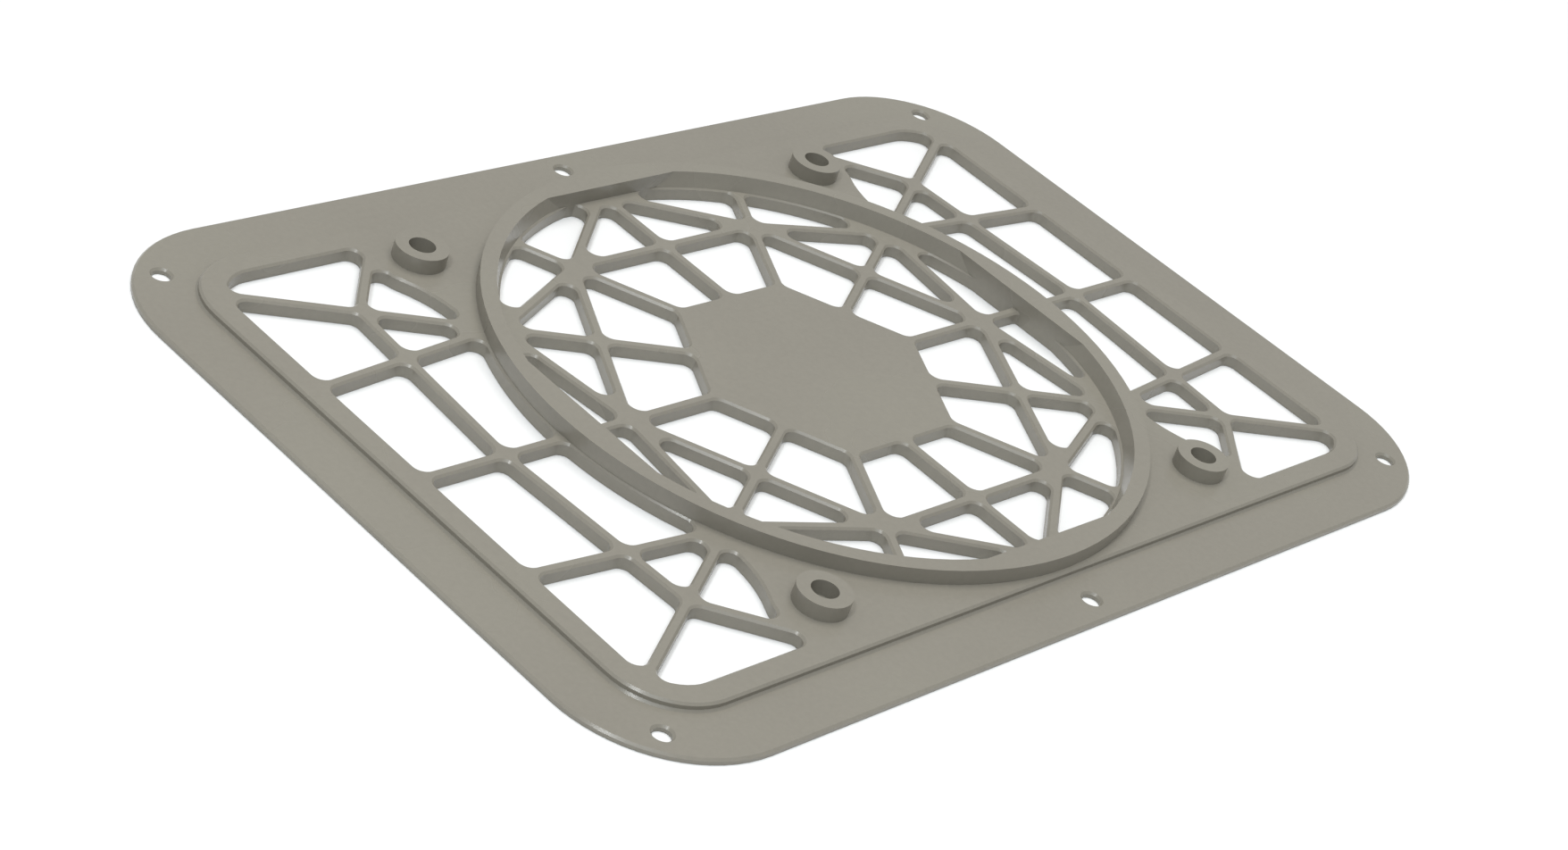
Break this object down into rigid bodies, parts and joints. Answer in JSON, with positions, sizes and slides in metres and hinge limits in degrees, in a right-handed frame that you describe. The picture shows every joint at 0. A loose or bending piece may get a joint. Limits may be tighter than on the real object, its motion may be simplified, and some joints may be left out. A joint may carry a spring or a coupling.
{
  "type": "fan cover",
  "caption": "Thin rectangular panel with a star-ribbed grille, side windows and a low ring with screw bosses that seats a fan.",
  "frame": {"origin": "on the flat underside, below the centre of the fan ring", "axes": "+Z out of the panel towards the fan, +X along the panel's long side, +Y along its short side"},
  "size_m": [0.2214, 0.151, 0.0056],
  "materials": {
    "plastic": "matte grey-beige plastic"
  },
  "bodies": {
    "root": {"fan_cover": "plastic"}
  },
  "joints": []
}
